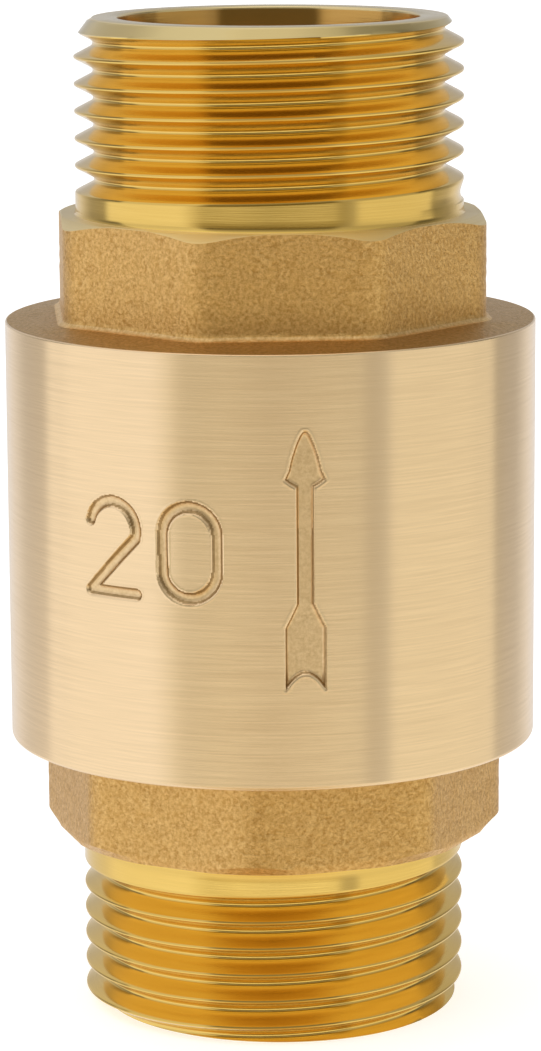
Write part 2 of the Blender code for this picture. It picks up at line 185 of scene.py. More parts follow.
def on_chamfer(graph):
    """1 on the outlet's end chamfer and 0 elsewhere, told by the radius at each height."""
    place = graph.put("ShaderNodeTexCoord", "Object")
    height = graph.put("ShaderNodeSeparateXYZ", "Z", Vector=place)
    flat = graph.put("ShaderNodeVectorMath", settings={"operation": "MULTIPLY"}, _0=place, _1=(1, 1, 0))
    radius = graph.put("ShaderNodeVectorMath", "Value", settings={"operation": "LENGTH"}, _0=flat)
    slope = (THREAD_RADIUS - OUTLET_END_RADIUS) / OUTLET_END_CHAMFER
    reach = graph.sum(radius, height, slope)
    edge = OUTLET_END_RADIUS + OUTLET_END * slope
    return graph.spread(reach, edge - 0.06 * MM, edge - 0.03 * MM)


def turned_brass(name, colour, dark, roughness, line_depth, anisotropy=0.5, faced=None):
    """Brass with the fine rings that a lathe tool leaves, paler on the end chamfer if it has one."""
    graph = Surface(name)
    fine = graph.noise(1.0, 3.0, 0.6, stretch=(160, 160, 9000))
    broad = graph.noise(1.0, 2.0, 0.5, stretch=(45, 45, 1500))
    cloud = graph.noise(220.0, 3.0)
    height = graph.sum(fine, broad, 0.15)
    shade = graph.spread(fine, 0.35, 0.7, 0.0, 0.22)
    tint = graph.mix(graph.sum(shade, cloud, 0.10), colour, dark)
    if faced:
        tint = graph.mix(on_chamfer(graph), tint, faced)
    rough = graph.spread(fine, 0.3, 0.7, roughness * 0.9, roughness * 1.12)
    return graph.finish(Base_Color=tint, Metallic=1.0, Roughness=rough, Anisotropic=anisotropy,
                        Anisotropic_Rotation=0.25, Tangent=graph.tangent(),
                        Normal=graph.bump(height, line_depth))


def cast_brass(name, colour, dark, light, grain_depth=0.07 * MM):
    """Sand-cast brass: grainy and matt, with brighter points on the grains."""
    graph = Surface(name)
    grain = graph.noise(4100.0, 4.0, 0.72)
    coarse = graph.noise(1100.0, 3.0, 0.6)
    height = graph.sum(grain, coarse, 0.8)
    tone = graph.mix(graph.spread(grain, 0.36, 0.63, 0.0, 1.0), dark, light)
    tint = graph.mix(graph.spread(coarse, 0.3, 0.7, 0.35, 0.65), tone, colour)
    rough = graph.spread(grain, 0.3, 0.7, 0.46, 0.34)
    return graph.finish(Base_Color=tint, Metallic=1.0, Roughness=rough,
                        Normal=graph.bump(height, grain_depth))


def steel(name, colour, roughness):
    """Bright stainless steel with drawn or turned lines."""
    graph = Surface(name)
    lines = graph.noise(1.0, 3.0, 0.6, stretch=(900, 900, 6000))
    tint = graph.mix(graph.spread(lines, 0.3, 0.7, 0.0, 0.3), colour, (0.30, 0.30, 0.31))
    rough = graph.spread(lines, 0.3, 0.7, roughness * 0.8, roughness * 1.3)
    return graph.finish(Base_Color=tint, Metallic=1.0, Roughness=rough,
                        Normal=graph.bump(lines, 0.004 * MM))


def moulded(name, colour, other, detail, grain_scale, clouds, polish, grain_depth, **extra):
    """Moulded rubber or plastic: a fine grain, clouds of a scale that start at a level, and roughness
    between two values."""
    graph = Surface(name)
    grain = graph.noise(grain_scale, detail)
    cloud_scale, cloud_start = clouds
    tint = graph.mix(graph.spread(graph.noise(cloud_scale, detail), cloud_start, 0.7), colour, other)
    return graph.finish(Base_Color=tint, Roughness=graph.spread(grain, 0.3, 0.7, *polish),
                        Normal=graph.bump(grain, grain_depth), **extra)


SATIN = turned_brass("satin_turned_brass", (0.96, 0.73, 0.445), (0.76, 0.55, 0.31), 0.24, 0.004 * MM, 0.95)
POLISHED = turned_brass("polished_turned_brass", (0.845, 0.585, 0.165), (0.70, 0.44, 0.09), 0.15, 0.003 * MM)
THREADED = turned_brass("threaded_brass", (0.845, 0.585, 0.165), (0.66, 0.41, 0.08), 0.15, 0.003 * MM,
                        faced=(0.66, 0.53, 0.25))
RIM = turned_brass("faced_brass", (0.87, 0.71, 0.38), (0.74, 0.55, 0.24), 0.22, 0.004 * MM)
# Rougher turned brass for the outlet ledge, tinted paler: partly its turned finish, partly a painted
# reflection.
TURNED_LEDGE_SHEEN = turned_brass("turned_ledge_painted_sheen", (0.94, 0.76, 0.39), (0.82, 0.62, 0.26), 0.42, 0.004 * MM,
                     anisotropy=0.8)
# Brass of the bores and the pieces inside, darker than the outside: partly its bored finish, partly painted
# shade inside the valve.
BORED_AND_SHADED = turned_brass("bored_brass_painted_shade", (0.76, 0.51, 0.21), (0.56, 0.33, 0.11), 0.20, 0.005 * MM)
# Darker still in the outlet bore below the mouth: painted shade.
MOUTH_SHADE = turned_brass("outlet_bore_painted_shade", (0.67, 0.40, 0.115), (0.47, 0.25, 0.06), 0.13, 0.004 * MM)
CAST = cast_brass("sand_cast_brass", (0.80, 0.48, 0.15), (0.42, 0.20, 0.04), (0.98, 0.67, 0.28))
# Darker cast brass for the shoulder under the octagon: painted shade beneath the fillet.
SHOULDER_SHADE_CAST = cast_brass("shoulder_cast_painted_shade", (0.56, 0.35, 0.12), (0.28, 0.155, 0.04), (0.74, 0.50, 0.22))
STEEL = steel("stainless_steel", (0.56, 0.56, 0.56), 0.24)
SPRING_STEEL = steel("spring_wire", (0.50, 0.49, 0.47), 0.2)
RUBBER = moulded("nitrile_rubber", (0.012, 0.012, 0.013), (0.03, 0.03, 0.031), 3.0, 4000.0, (300.0, 0.35),
                 (0.5, 0.68), 0.015 * MM)
ACETAL = moulded("white_acetal", (0.80, 0.79, 0.74), (0.70, 0.69, 0.63), 2.0, 2600.0, (350.0, 0.3),
                 (0.34, 0.46), 0.008 * MM, Subsurface_Weight=0.15,
                 Subsurface_Radius=(0.6 * MM, 0.5 * MM, 0.4 * MM))
MARK_FLOOR = cast_brass("struck_brass", (0.92, 0.68, 0.38), (0.68, 0.48, 0.24), (0.92, 0.69, 0.40), 0.02 * MM)
# Darker cast brass for the steep walls of the sunk marks: painted shade in the recess.
MARK_WALL_SHADE = cast_brass("mark_wall_painted_shade", (0.54, 0.36, 0.17), (0.30, 0.19, 0.08), (0.52, 0.36, 0.18), 0.02 * MM)
# Paler cast brass for the middle of the shoulder's cove: a painted highlight along the fillet.
FILLET_HIGHLIGHT_CAST = cast_brass("fillet_cast_painted_highlight", (0.86, 0.58, 0.24), (0.52, 0.31, 0.10), (0.98, 0.72, 0.37))


def smooth(mesh, sharp=SHARP_ANGLE):
    """Shade a mesh smooth except at its real edges."""
    mesh.shade_smooth()
    mesh.set_sharp_from_angle(angle=sharp)


def linked(name, data):
    """Put an object in the scene."""
    obj = bpy.data.objects.new(name, data)
    bpy.context.scene.collection.objects.link(obj)
    return obj


# --- Meshes made of rings round the axis ---

COLUMN_STEP = math.tau / COLUMNS
ANGLES = np.arange(COLUMNS) * COLUMN_STEP
COMPASS = (ANGLES + math.pi / 2 + math.pi) % math.tau - math.pi


def smoothstep(value):
    """Ease from 0 to 1."""
    value = np.clip(value, 0.0, 1.0)
    return value * value * (3.0 - 2.0 * value)


class Shell:
    """A closed skin made of rings of points; its profile goes up outside and down inside."""

    def __init__(self):
        self.points = []
        self.faces = []
        self.surfaces = []
        self.last = None

    def add_points(self, angles, radii, heights):
        """Append points and return their numbers."""
        first = len(self.points)
        angles, radii, heights = np.broadcast_arrays(angles, radii, heights)
        places = np.stack([radii * np.cos(angles), radii * np.sin(angles), heights], -1)
        self.points.extend(places.reshape(-1, 3).tolist())
        return np.arange(first, len(self.points)).reshape(angles.shape)

    def ring(self, radius, height):
        """One ring; the radius and the height may differ from column to column."""
        return self.add_points(ANGLES, radius, height)

    def face(self, corners, surface):
        """Append one face."""
        self.faces.append([int(corner) for corner in corners])
        self.surfaces.append(surface)

    def band(self, lower, upper, surface):
        """Quads between two rings."""
        for near, far, far_up, near_up in zip(lower, np.roll(lower, -1), np.roll(upper, -1), upper):
            self.face((near, far, far_up, near_up), surface)

    def rings(self, stations, surface):
        """Rings at (radius, height) stations, each joined to the one before; returns the last."""
        for radius, height in stations:
            ring = self.ring(radius, height)
            if self.last is not None:
                self.band(self.last, ring, surface)
            self.last = ring
        return self.last

    def thread(self, low, high, top_radius, thread, surface):
        """Helical skin from the last ring up to a level one, with points that follow the thread."""
        lower, upper = self.last, self.ring(top_radius, high)
        self.last = upper
        phases = thread_phases()
        margin = 0.02 * PITCH
        columns = []
        for angle in ANGLES:
            crest = thread.crest(angle)
            turns = np.arange(math.floor((low - crest) / PITCH), math.ceil((high - crest) / PITCH) + 1)
            places = (turns[:, None] + phases[None, :]).ravel()
            heights = crest + PITCH * places
            keys = np.round(turns[:, None] * len(phases) + np.arange(len(phases))[None, :]).ravel()
            inside = (heights > low + margin) & (heights < high - margin)
            radii = thread.radius(heights[inside], places[inside])
            numbers = self.add_points(angle, radii, heights[inside])
            columns.append(dict(zip(keys[inside].astype(int).tolist(), numbers.tolist())))
        for column, here in enumerate(columns):
            following = (column + 1) % COLUMNS
            shift = 0 if following else len(phases)
            there = {key - shift: number for key, number in columns[following].items()}
            shared = sorted(set(here) & set(there))
            for key, after in zip(shared, shared[1:]):
                self.face((here[key], there[key], there[after], here[after]), surface)
            right = [there[key] for key in sorted(there) if key <= shared[0]]
            left = [here[key] for key in sorted(here, reverse=True) if key <= shared[0]]
            self.face([lower[column], lower[following], *right, *left], surface)
            right = [there[key] for key in sorted(there) if key >= shared[-1]]
            left = [here[key] for key in sorted(here, reverse=True) if key >= shared[-1]]
            self.face([*right, upper[following], upper[column], *left], surface)

    def wall(self, top, patches, surface):
        """Cylinder wall up to a (radius, height) station, with finely meshed patches set into it."""
        lower, upper = self.last, self.ring(*top)
        self.last = upper
        taken = set()
        side_left, side_right = {}, {}
        for patch in patches:
            grid = patch.points(self)
            rows, columns = grid.shape
            for row in range(rows - 1):
                for column in range(columns - 1):
                    self.face((grid[row, column], grid[row, column + 1],
                               grid[row + 1, column + 1], grid[row + 1, column]),
                              (surface, MARK_WALL_SHADE, MARK_FLOOR)[patch.zones[row, column]])
            for step in range(patch.count):
                column = (patch.first + step) % COLUMNS
                following = (column + 1) % COLUMNS
                part = slice(step * patch.split, (step + 1) * patch.split + 1)
                self.face([lower[column], lower[following], *grid[0, part][::-1]], surface)
                self.face([*grid[-1, part], upper[following], upper[column]], surface)
                taken.add(column)
            side_right[(patch.first - 1) % COLUMNS] = grid[:, 0]
            side_left[(patch.first + patch.count) % COLUMNS] = grid[:, -1]
        for column in range(COLUMNS):
            if column in taken:
                continue
            following = (column + 1) % COLUMNS
            right = list(side_right.get(column, []))
            left = list(side_left.get(column, []))[::-1]
            self.face([lower[column], lower[following], *right, upper[following], upper[column], *left],
                      surface)

    def finish(self, name):
        """Make the mesh object, shaded smooth except at its real edges."""
        mesh = bpy.data.meshes.new(name)
        mesh.from_pydata(self.points, [], self.faces)
        slots = {surface: slot for slot, surface in enumerate(dict.fromkeys(self.surfaces))}
        for surface in slots:
            mesh.materials.append(surface)
        mesh.polygons.foreach_set("material_index", [slots[surface] for surface in self.surfaces])
        mesh.validate()
        smooth(mesh)
        return linked(name, mesh)


def thread_phases():
    """Where in one pitch, counted from the middle of a crest, the profile needs its points."""
    half = [0.0, 0.05, 0.09, 0.1218, 0.19, 0.25, 0.31, 0.3782, 0.42, 0.46, 0.5]
    return np.array(half + [1.0 - share for share in half[-2:0:-1]])


def thread_depth(places):
    """Depth under the crest of the Whitworth profile: round crest, straight flank, round root."""
    offset = np.abs(places - np.round(places)) * PITCH
    crest_end, crest_drop = CREST_ROUND * math.cos(FLANK), CREST_ROUND * (1.0 - math.sin(FLANK))
    root_end, root_rise = ROOT_ROUND * math.cos(FLANK), ROOT_ROUND * (1.0 - math.sin(FLANK))
    full_depth = (PITCH / 2 - crest_end - root_end) / math.tan(FLANK) + crest_drop + root_rise
    crest = CREST_ROUND - np.sqrt(np.maximum(CREST_ROUND ** 2 - offset ** 2, 0.0))
    from_root = PITCH / 2 - offset
    root = full_depth - ROOT_ROUND + np.sqrt(np.maximum(ROOT_ROUND ** 2 - from_root ** 2, 0.0))
    flank = crest_drop + (offset - crest_end) / math.tan(FLANK)
    return np.where(offset < crest_end, crest, np.where(from_root < root_end, root, flank))


class Thread:
    """A right-hand pipe thread that starts at an end face and lifts out at its blind end."""

    def __init__(self, crest_at_front, blind_end, face, end_radius, end_chamfer, lift_turns=0.45):
        self.crest_at_x = crest_at_front + PITCH / 4
        self.end_radius = end_radius
        self.slope = (THREAD_RADIUS - end_radius) / end_chamfer
        self.blind_end = blind_end
        self.face = face
        self.way = 1.0 if face > blind_end else -1.0
        self.lift_turns = lift_turns

    def crest(self, angle):
        """Height of one crest at an angle counted from +X."""
        return self.crest_at_x + PITCH * angle / math.tau

    def radius(self, heights, places):
        """Radius at some heights, where places count pitches from the crest."""
        groove = heights + (np.floor(places) + 0.5 - places) * PITCH
        depth_share = smoothstep((groove - self.blind_end) * self.way / (self.lift_turns * PITCH))
        radii = THREAD_RADIUS - thread_depth(places) * depth_share
        return np.minimum(radii, self.envelope(heights))

    def envelope(self, heights):
        """Radius of the end chamfer."""
        return self.end_radius + (self.face - heights) * self.way * self.slope

    def ring(self, height):
        """Radius of each column at one height."""
        places = (height - self.crest(ANGLES)) / PITCH
        return self.radius(np.full(COLUMNS, height), places)


def octagon(across_flats, turn, corner_round):
    """Radius of each column on an octagon with rounded corners."""
    apothem = across_flats / 2
    half_side = math.pi / 8
    offset = (COMPASS - turn + half_side) % (math.tau / 8) - half_side
    centre_x = apothem - corner_round
    centre_y = centre_x * math.tan(half_side)
    side = np.abs(offset)
    along = np.cos(side) * centre_x + np.sin(side) * centre_y
    reach = corner_round ** 2 - centre_x ** 2 - centre_y ** 2 + along ** 2
    corner = along + np.sqrt(np.maximum(reach, 0.0))
    flat = apothem / np.cos(side)
    return np.where(apothem * np.tan(side) <= centre_y, flat, corner)


def wobble(height, size, amount, seed):
    """Smooth uneven offsets round a ring, as on a casting."""
    rng = np.random.default_rng(seed)
    total = np.zeros(COLUMNS)
    for waves in range(3, 40, 4):
        lag, climb = rng.uniform(0, math.tau, 2)
        total += np.sin(waves * ANGLES + lag + height / size * climb) / math.sqrt(waves)
    return total * amount / 2.0


def arc(centre, radius, start, end, steps):
    """Points along an arc round a centre, angles in degrees."""
    x, y = centre
    for step in range(steps + 1):
        angle = math.radians(start + (end - start) * step / steps)
        yield x + radius * math.cos(angle), y + radius * math.sin(angle)


# --- Sunk marks: the flow arrow and the nominal size ---

def distance_to_path(points, path):
    """Distance of each point (x, z) to an open path."""
    best = np.full(len(points), 1e9)
    for start, end in zip(path, path[1:]):
        start, end = np.array(start), np.array(end)
        along = end - start
        share = np.clip((points - start) @ along / max(along @ along, 1e-18), 0.0, 1.0)
        best = np.minimum(best, np.linalg.norm(points - start - share[:, None] * along, axis=1))
    return best


def inside_outline(points, outline):
    """True for each point (x, z) inside a closed outline."""
    inside = np.zeros(len(points), bool)
    x, z = points[:, 0], points[:, 1]
    for (x0, z0), (x1, z1) in zip(outline, outline[1:] + outline[:1]):
        if z0 == z1:
            continue
        crosses = (z0 > z) != (z1 > z)
        inside ^= crosses & (x < x0 + (z - z0) * (x1 - x0) / (z1 - z0))
    return inside


def arrow_outline():
    """Flow arrow: lance head, straight shaft and a tail that widens to a hollow foot."""
    tail_half, tail_end, hollow = 1.3 * MM, ARROW_BOTTOM, 1.05 * MM
    side = [(0.12, 42.31), (0.34, 42.0), (0.58, 41.45), (0.86, 40.6), (1.06, 39.75), (1.2, 39.45),
            (1.32, 39.2), (0.9, 38.9), (0.56, 38.7), (0.545, 31.1), (0.92, 30.3), (1.3, 29.55)]
    right = [(x * MM, z * MM) for x, z in side] + [(tail_half, tail_end)]
    foot = []
    for step in range(-4, 5):
        share = -step / 5
        foot.append((tail_half * share, tail_end + hollow * (1.0 - share * share)))
    return right + foot + [(-x, z) for x, z in reversed(right)]


def digit_paths(left, bottom, width, height):
    """The nominal size 20 as two strokes of a round-nosed cutter."""
    half = width / 2
    top = bottom + height - half
    two = [*arc((left + half, top), half, 165, -15, 18), (left, bottom), (left + width, bottom)]
    start = left + width + DIGIT_GAP + half
    zero = [*arc((start, top), half, 0, 180, 15), *arc((start, bottom + half), half, 192, 360, 14)]
    zero.append(zero[0])
    return [two, zero]


PATCH_ROW = 0.075 * MM
NUMBER_PATCH = (-16.1 * MM, -4.1 * MM, 30.2 * MM, 38.4 * MM)
ARROW_PATCH = (-1.8 * MM, 1.8 * MM, 24.9 * MM, 43.0 * MM)
ARROW_BOTTOM = 25.49 * MM
ARROW_DEPTH = 0.26 * MM
ARROW_WALL = 0.26 * MM
MARK_EDGE = 0.03 * MM
MARK_FOOT = 0.18 * MM
STROKE_DEPTH = 0.24 * MM
STROKE_NOSE = 0.46 * MM
DIGIT_WIDTH = 3.7 * MM
DIGIT_GAP = 1.9 * MM
DIGIT_HEIGHT = 6.0 * MM
NUMBER_LEFT = -15.0 * MM
NUMBER_BOTTOM = 31.35 * MM


def arrow_depth(points):
    """Depth of the flow arrow: a flat pocket with sloping walls."""
    outline = arrow_outline()
    edge = distance_to_path(points, outline + outline[:1])
    signed = np.where(inside_outline(points, outline), edge, -edge)
    pocket = ARROW_DEPTH * smoothstep(signed / ARROW_WALL + 0.25)
    burr = 0.02 * MM * np.exp(-((signed + 0.16 * MM) / (0.08 * MM)) ** 2)
    return pocket - burr


def number_depth(points):
    """Depth of the size number: grooves with a round bottom."""
    paths = digit_paths(NUMBER_LEFT, NUMBER_BOTTOM, DIGIT_WIDTH, DIGIT_HEIGHT)
    distance = np.min([distance_to_path(points, path) for path in paths], axis=0)
    centre = STROKE_NOSE - STROKE_DEPTH
    round_floor = np.sqrt(np.maximum(STROKE_NOSE ** 2 - distance ** 2, 0.0)) - centre
    edge = math.sqrt(STROKE_NOSE ** 2 - centre ** 2)
    burr = 0.02 * MM * np.exp(-((distance - edge - 0.09 * MM) / (0.07 * MM)) ** 2)
    return np.maximum(round_floor, 0.0) - burr


class Patch:
    """A finely meshed stretch of the cylinder's wall with a mark sunk into it."""

    def __init__(self, left, right, bottom, top, split, depth):
        self.first = math.floor((left / BODY_RADIUS - math.pi / 2) / COLUMN_STEP) % COLUMNS
        self.count = math.ceil((right - left) / BODY_RADIUS / COLUMN_STEP) + 1
        self.split = split
        self.heights = np.linspace(bottom, top, max(2, round((top - bottom) / PATCH_ROW)))
        self.depth = depth

    def points(self, shell):
        """Append the patch's points to the shell, sunk by the mark's depth."""
        angles = (self.first + np.arange(self.count * self.split + 1) / self.split) * COLUMN_STEP
        compass = (angles + math.pi / 2 + math.pi) % math.tau - math.pi
        across, up = np.meshgrid(compass * BODY_RADIUS, self.heights)
        depth = self.depth(np.stack([across.ravel(), up.ravel()], -1)).reshape(across.shape)
        # Zone 1, the steep walls, takes the painted shade; zone 2 is the floor.
        self.zones = (depth > MARK_EDGE).astype(int) + (depth > MARK_FOOT)
        depth[0, :] = depth[-1, :] = 0.0
        depth[:, 0] = depth[:, -1] = 0.0
        return shell.add_points(np.broadcast_to(angles, depth.shape), BODY_RADIUS - depth,
                                np.broadcast_to(self.heights[:, None], depth.shape))


def read(items, name, width=1, kind=np.int32):
    """One attribute of a mesh's items as an array."""
    values = np.empty(len(items) * width, kind)
    items.foreach_get(name, values)
    return values.reshape(-1, width) if width > 1 else values


def true_wall_normals(obj, surface):
    """Give the undented part of the cylinder's wall exactly radial normals."""
    mesh = obj.data
    slot = mesh.materials.find(surface.name)
    places = read(mesh.vertices, "co", 3, np.float32)
    normals = read(mesh.corner_normals, "vector", 3, np.float32)
    corners = read(mesh.loops, "vertex_index")
    face_slots = np.repeat(read(mesh.polygons, "material_index"), read(mesh.polygons, "loop_total"))
    plain = np.abs(np.hypot(places[:, 0], places[:, 1]) - BODY_RADIUS) < 0.002 * MM
    upright = np.abs(normals[:, 2]) < 0.3
    chosen = plain[corners] & (face_slots == slot) & upright
    radial = places[corners] * (1.0, 1.0, 0.0)
    radial /= np.linalg.norm(radial, axis=1, keepdims=True)
    normals[chosen] = radial[chosen]
    mesh.normals_split_custom_set(normals.tolist())


# --- The two castings ---

def make_valve_body():
    """Body: outlet thread and rim, ledge, octagon, cast shoulder, cylinder, chamber."""
    shell = Shell()
    thread = Thread(OUTLET_CREST_AT_FRONT, OUTLET_THREAD_END, OUTLET_END,
                    OUTLET_END_RADIUS, OUTLET_END_CHAMFER)
    edge, soft = 0.3 * MM, 0.12 * MM
    foot = arc((BODY_RADIUS - edge, BODY_BOTTOM + edge), edge, -90, 0, 5)
    bottom = shell.rings([next(foot)], SATIN)
    shell.rings(foot, SATIN)
    brow = arc((BODY_RADIUS - soft, BODY_TOP - soft), soft, 0, 90, 4)
    marks = [Patch(*NUMBER_PATCH, 5, number_depth), Patch(*ARROW_PATCH, 6, arrow_depth)]
    shell.wall(next(brow), marks, SATIN)
    shell.rings(brow, SATIN)

    flats = octagon(OUTLET_OCTAGON_FLATS, OUTLET_OCTAGON_TURN, OUTLET_CORNER_ROUND)
    cove = 0.55 * MM
    ramp = np.linspace(0.15, 1.0, 6)
    shoulder_start = BODY_RADIUS - 0.45 * MM
    # The shoulder's rings take the darker cast brass, painted shade under the octagon.
    for share in ramp:
        radius = shoulder_start + (flats + cove - shoulder_start) * share
        height = BODY_TOP + (SHOULDER - BODY_TOP) * share + wobble(share, 1.0, 0.03 * MM, 5)
        shell.rings([(radius, height)], SHOULDER_SHADE_CAST)
    uneven = wobble(0.5, 1.0, 0.06 * MM, 3)
    # The cove's middle rings take the paler cast brass, a painted highlight along the fillet.
    cove_surfaces = [SHOULDER_SHADE_CAST, FILLET_HIGHLIGHT_CAST, FILLET_HIGHLIGHT_CAST, FILLET_HIGHLIGHT_CAST, CAST, CAST]
    for angle, surface in zip(range(-75, 1, 15), cove_surfaces):
        turn = math.radians(angle)
        radius = flats + cove - cove * math.cos(turn)
        height = SHOULDER + cove + cove * math.sin(turn) + uneven * math.cos(turn)
        shell.rings([(radius, height)], surface)
    flats_top = OUTLET_LEDGE - np.maximum(flats - OUTLET_LEDGE_FLAT, 0.0) * OUTLET_LEDGE_SLOPE
    for share in np.linspace(0.08, 1.0, 14):
        height = SHOULDER + cove + (flats_top - SHOULDER - cove) * share
        fade = math.sin(math.pi * min(share, 0.98))
        bulge = wobble(share * 7.0, 1.0, 0.035 * MM, 7) * fade
        shell.rings([(flats + bulge, height)], CAST)
    lip = 0.07 * MM
    shell.rings([(flats - lip, flats_top + lip * OUTLET_LEDGE_SLOPE)], TURNED_LEDGE_SHEEN)
    inner = np.minimum(flats - 2 * lip, OUTLET_LEDGE_FLAT)
    shell.rings([(inner, OUTLET_LEDGE), (inner - lip, OUTLET_LEDGE),
                 (THREAD_RADIUS + 0.1 * MM, OUTLET_LEDGE)], TURNED_LEDGE_SHEEN)
    neck = OUTLET_LEDGE + 0.12 * MM
    shell.rings([(THREAD_RADIUS + 0.02 * MM, neck), (THREAD_RADIUS, neck + 0.2 * MM)],
                POLISHED)
    low = OUTLET_THREAD_END - 0.35 * MM
    shell.rings([(THREAD_RADIUS, low)], POLISHED)
    rim_edge = 0.06 * MM
    high = OUTLET_END - rim_edge
    shell.thread(low, high, thread.ring(high), thread, THREADED)
    outer = np.minimum(thread.ring(OUTLET_END - rim_edge), OUTLET_END_RADIUS) - rim_edge
    shell.rings([(outer, OUTLET_END), ((outer + BORE) / 2, OUTLET_END),
                 (BORE + BORE_CHAMFER + rim_edge, OUTLET_END)], RIM)
    shell.rings([(BORE + BORE_CHAMFER, OUTLET_END - rim_edge / 2),
                 (BORE + 0.02 * MM, OUTLET_END - BORE_CHAMFER),
                 (BORE, OUTLET_END - BORE_CHAMFER - 0.1 * MM)], RIM)

    seat_top, seat_radius, seat_bottom = 46.2 * MM, 12.0 * MM, 43.0 * MM
    chamber, roof, floor = 15.5 * MM, 39.8 * MM, 28.3 * MM
    socket, socket_top = 14.15 * MM, BODY_BOTTOM + 2.13 * MM
    ring_hole = 14.6 * MM
    shell.rings([(BORE, seat_top + 3.0 * MM)], MOUTH_SHADE)
    shell.rings([(BORE, seat_top + 0.3 * MM), (BORE + 0.15 * MM, seat_top),
                 (seat_radius, seat_top), (seat_radius, seat_bottom),
                 (chamber - 0.1 * MM, roof + 0.1 * MM), (chamber, roof - 0.2 * MM),
                 (chamber, floor), (socket, floor - 1.0 * MM), (socket, socket_top),
                 (ring_hole, socket_top), (ring_hole, BODY_BOTTOM + 0.15 * MM),
                 (ring_hole + 0.15 * MM, BODY_BOTTOM)], BORED_AND_SHADED)
    shell.band(shell.last, bottom, SATIN)
    body = shell.finish("valve_body_skin")
    true_wall_normals(body, SATIN)
    return body


def make_inlet_connector():
    """Connector: inlet thread, ledge, octagon, neck and spigot, valve seat, bored inside."""
    shell = Shell()
    thread = Thread(INLET_CREST_AT_FRONT, INLET_THREAD_END, INLET_END,
                    INLET_END_RADIUS, INLET_END_CHAMFER)
    rim_edge = 0.06 * MM
    low, high = INLET_END + rim_edge, INLET_THREAD_END + 0.35 * MM
    face = np.minimum(thread.ring(low), INLET_END_RADIUS) - rim_edge
    bottom = shell.rings([(face, INLET_END)], RIM)
    shell.rings([(thread.ring(low), low)], RIM)
    shell.thread(low, high, THREAD_RADIUS, thread, POLISHED)
    ledge_root = THREAD_RADIUS + 0.12 * MM
    shell.rings([(THREAD_RADIUS, INLET_LEDGE - 0.3 * MM),
                 (ledge_root, INLET_LEDGE - 0.02 * MM)], POLISHED)
    flats = octagon(INLET_OCTAGON_FLATS, INLET_OCTAGON_TURN, INLET_CORNER_ROUND)
    lip = 0.15 * MM
    inner = np.minimum(flats - lip, INLET_LEDGE_FLAT)
    for share in (0.05, 0.5, 1.0):
        radius = ledge_root + (inner - ledge_root) * share
        shell.rings([(radius, INLET_LEDGE)], RIM)
    flats_bottom = INLET_LEDGE + lip + np.maximum(flats - INLET_LEDGE_FLAT, 0.0) * INLET_LEDGE_SLOPE
    top = CONNECTOR_SHOULDER
    for share in np.linspace(0.02, 0.97, 14):
        height = flats_bottom + (top - flats_bottom) * share
        fade = math.sin(math.pi * share)
        shell.rings([(flats + wobble(share * 7.0, 1.0, 0.035 * MM, 11) * fade, height)],
                    CAST)
    shell.rings([(flats - 0.3 * MM, top)], CAST)
    neck, spigot = 12.8 * MM, 13.85 * MM
    spigot_bottom, spigot_top = INLET_END + 20.9 * MM, INLET_END + 26.2 * MM
    seat_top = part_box("inlet_connector")[1].z
    seat_bore, stop = 9.3 * MM, INLET_END + 17.3 * MM
    groove_bottom, groove_top, groove = INLET_END + 12.3 * MM, INLET_END + 13.9 * MM, 11.0 * MM
    shell.rings([(neck + 0.2 * MM, top), (neck, top + 0.2 * MM), (neck, spigot_bottom),
                 (spigot - 0.3 * MM, spigot_bottom), (spigot, spigot_bottom + 0.3 * MM),
                 (spigot, spigot_top - 0.3 * MM), (spigot - 0.3 * MM, spigot_top),
                 (10.6 * MM, spigot_top), (10.35 * MM, seat_top - 0.15 * MM),
                 (10.2 * MM, seat_top), (9.7 * MM, seat_top), (9.55 * MM, seat_top - 0.12 * MM),
                 (seat_bore, seat_top - 0.4 * MM), (seat_bore, stop + 0.1 * MM),
                 (seat_bore + 0.1 * MM, stop), (BORE, stop), (BORE, groove_top + 0.05 * MM),
                 (BORE + 0.05 * MM, groove_top), (groove, groove_top), (groove, groove_bottom),
                 (BORE + 0.05 * MM, groove_bottom), (BORE, groove_bottom - 0.05 * MM),
                 (BORE, INLET_END + BORE_CHAMFER + 0.1 * MM)], BORED_AND_SHADED)
    shell.rings([(BORE + 0.02 * MM, INLET_END + BORE_CHAMFER),
                 (BORE + BORE_CHAMFER, INLET_END + rim_edge / 2),
                 (BORE + BORE_CHAMFER + rim_edge, INLET_END),
                 ((face + BORE) / 2, INLET_END)], RIM)
    shell.band(shell.last, bottom, RIM)
    return shell.finish("inlet_connector_skin")


# --- Inside pieces ---

def rounded(profile, radius, closed=True, steps=3):
    """Round the corners of a (radius, height) profile."""
    points = [Vector(point) for point in profile]
    result = []
    for index, point in enumerate(points):
        if not closed and index in (0, len(points) - 1):
            result.append(point)
            continue
        before = points[index - 1] - point
        after = points[(index + 1) % len(points)] - point
        reach = min(radius, before.length * 0.4, after.length * 0.4)
        start, end = point + before.normalized() * reach, point + after.normalized() * reach
        for step in range(steps + 1):
            share = step / steps
            result.append(start * (1 - share) ** 2 + point * 2 * share * (1 - share) + end * share ** 2)
    return [(point.x, point.y) for point in result]


def link_mesh(name, bm, surface):
    """Object from a bmesh, with outward faces."""
    bmesh.ops.recalc_face_normals(bm, faces=bm.faces)
    mesh = bpy.data.meshes.new(name)
    bm.to_mesh(mesh)
    bm.free()
    mesh.materials.append(surface)
    smooth(mesh)
    return linked(name, mesh)


